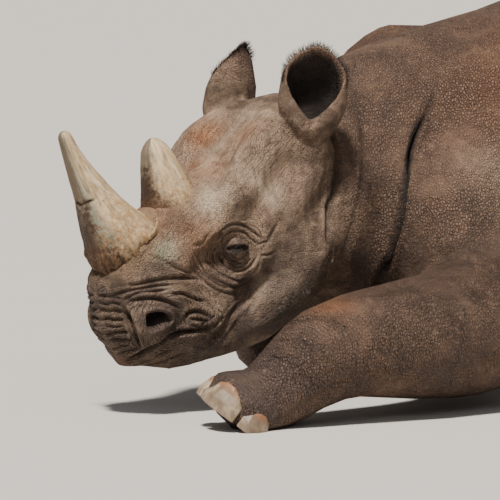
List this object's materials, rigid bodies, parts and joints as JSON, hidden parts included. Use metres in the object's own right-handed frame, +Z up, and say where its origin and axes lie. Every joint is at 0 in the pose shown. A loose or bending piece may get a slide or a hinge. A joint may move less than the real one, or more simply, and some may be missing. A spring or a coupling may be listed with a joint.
{
  "type": "black rhinoceros",
  "caption": "Life-size black rhinoceros lying on its chest with its head held low, left foreleg stretched in front, hooked upper lip, front and rear horns; a still display animal",
  "frame": {"origin": "middle of the floor under the animal's box, at floor level", "axes": "+Z up, the head points to -Y, the animal's left side is +X"},
  "size_m": [1.2418, 2.6948, 0.8492],
  "materials": {
    "hide": "matte",
    "horn": "satin",
    "nail": "satin",
    "eye": "gloss"
  },
  "bodies": {
    "root": {"head": "hide", "jaw": "hide", "neck": "hide", "trunk": "hide", "haunches": "hide", "tail": "hide", "foreleg_left": "hide", "foreleg_right": "hide", "hindleg_left": "hide", "hindleg_right": "hide", "ear_left": "hide", "ear_right": "hide", "horn_front": "horn", "horn_rear": "horn", "nail_fore_left_middle": "nail", "nail_fore_left_outer": "nail", "nail_fore_left_inner": "nail", "nail_fore_right_middle": "nail", "nail_fore_right_outer": "nail", "nail_fore_right_inner": "nail", "nail_hind_left_middle": "nail", "nail_hind_left_outer": "nail", "nail_hind_left_inner": "nail", "nail_hind_right_middle": "nail", "nail_hind_right_outer": "nail", "nail_hind_right_inner": "nail", "eye_left": "eye", "eye_right": "eye"}
  },
  "joints": []
}
